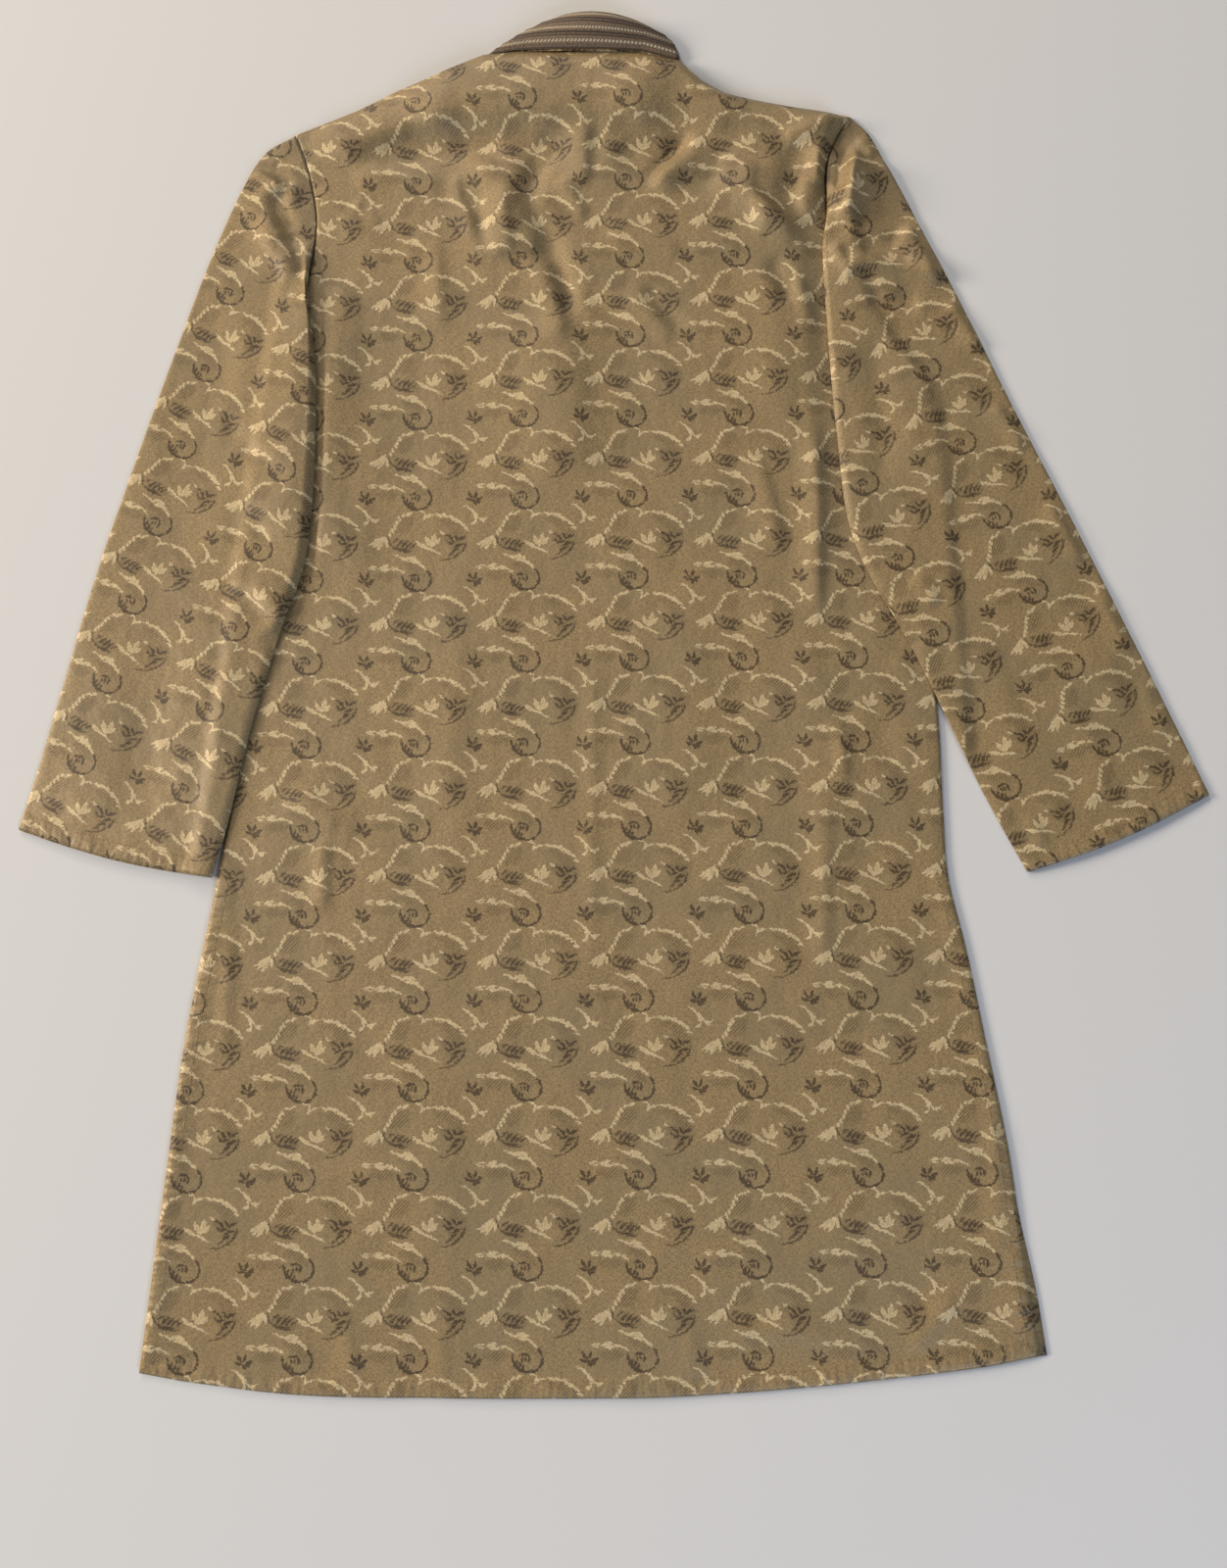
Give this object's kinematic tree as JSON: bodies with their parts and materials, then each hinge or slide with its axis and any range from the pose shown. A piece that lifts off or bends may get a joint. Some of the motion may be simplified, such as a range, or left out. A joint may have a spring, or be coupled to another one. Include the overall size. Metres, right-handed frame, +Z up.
{
  "type": "kurta laid flat",
  "caption": "Long straight kurta of figured satin jacquard lying flat with its back up: band collar with corded trim, long set-in sleeves over the body's sides, side slits and turned hems.",
  "frame": {"origin": "on the table under the middle of the garment's box", "axes": "+X to the right across the sleeves, +Y from the hem to the collar, +Z up off the table"},
  "size_m": [0.904, 1.07, 0.0179],
  "materials": {
    "jacquard_cloth": "olive-brown silky jacquard with a soft sheen and a small woven leaf repeat in light gold and dark brown",
    "woven_braid": "matt dark-brown woven braid with raised cords and rows of small ivory stitches"
  },
  "bodies": {
    "root": {"front_panel": "jacquard_cloth", "front_placket": "jacquard_cloth", "back_panel": "jacquard_cloth", "sleeve_left": "jacquard_cloth", "sleeve_right": "jacquard_cloth", "collar_band": "jacquard_cloth", "collar_trim": "woven_braid"}
  },
  "joints": []
}
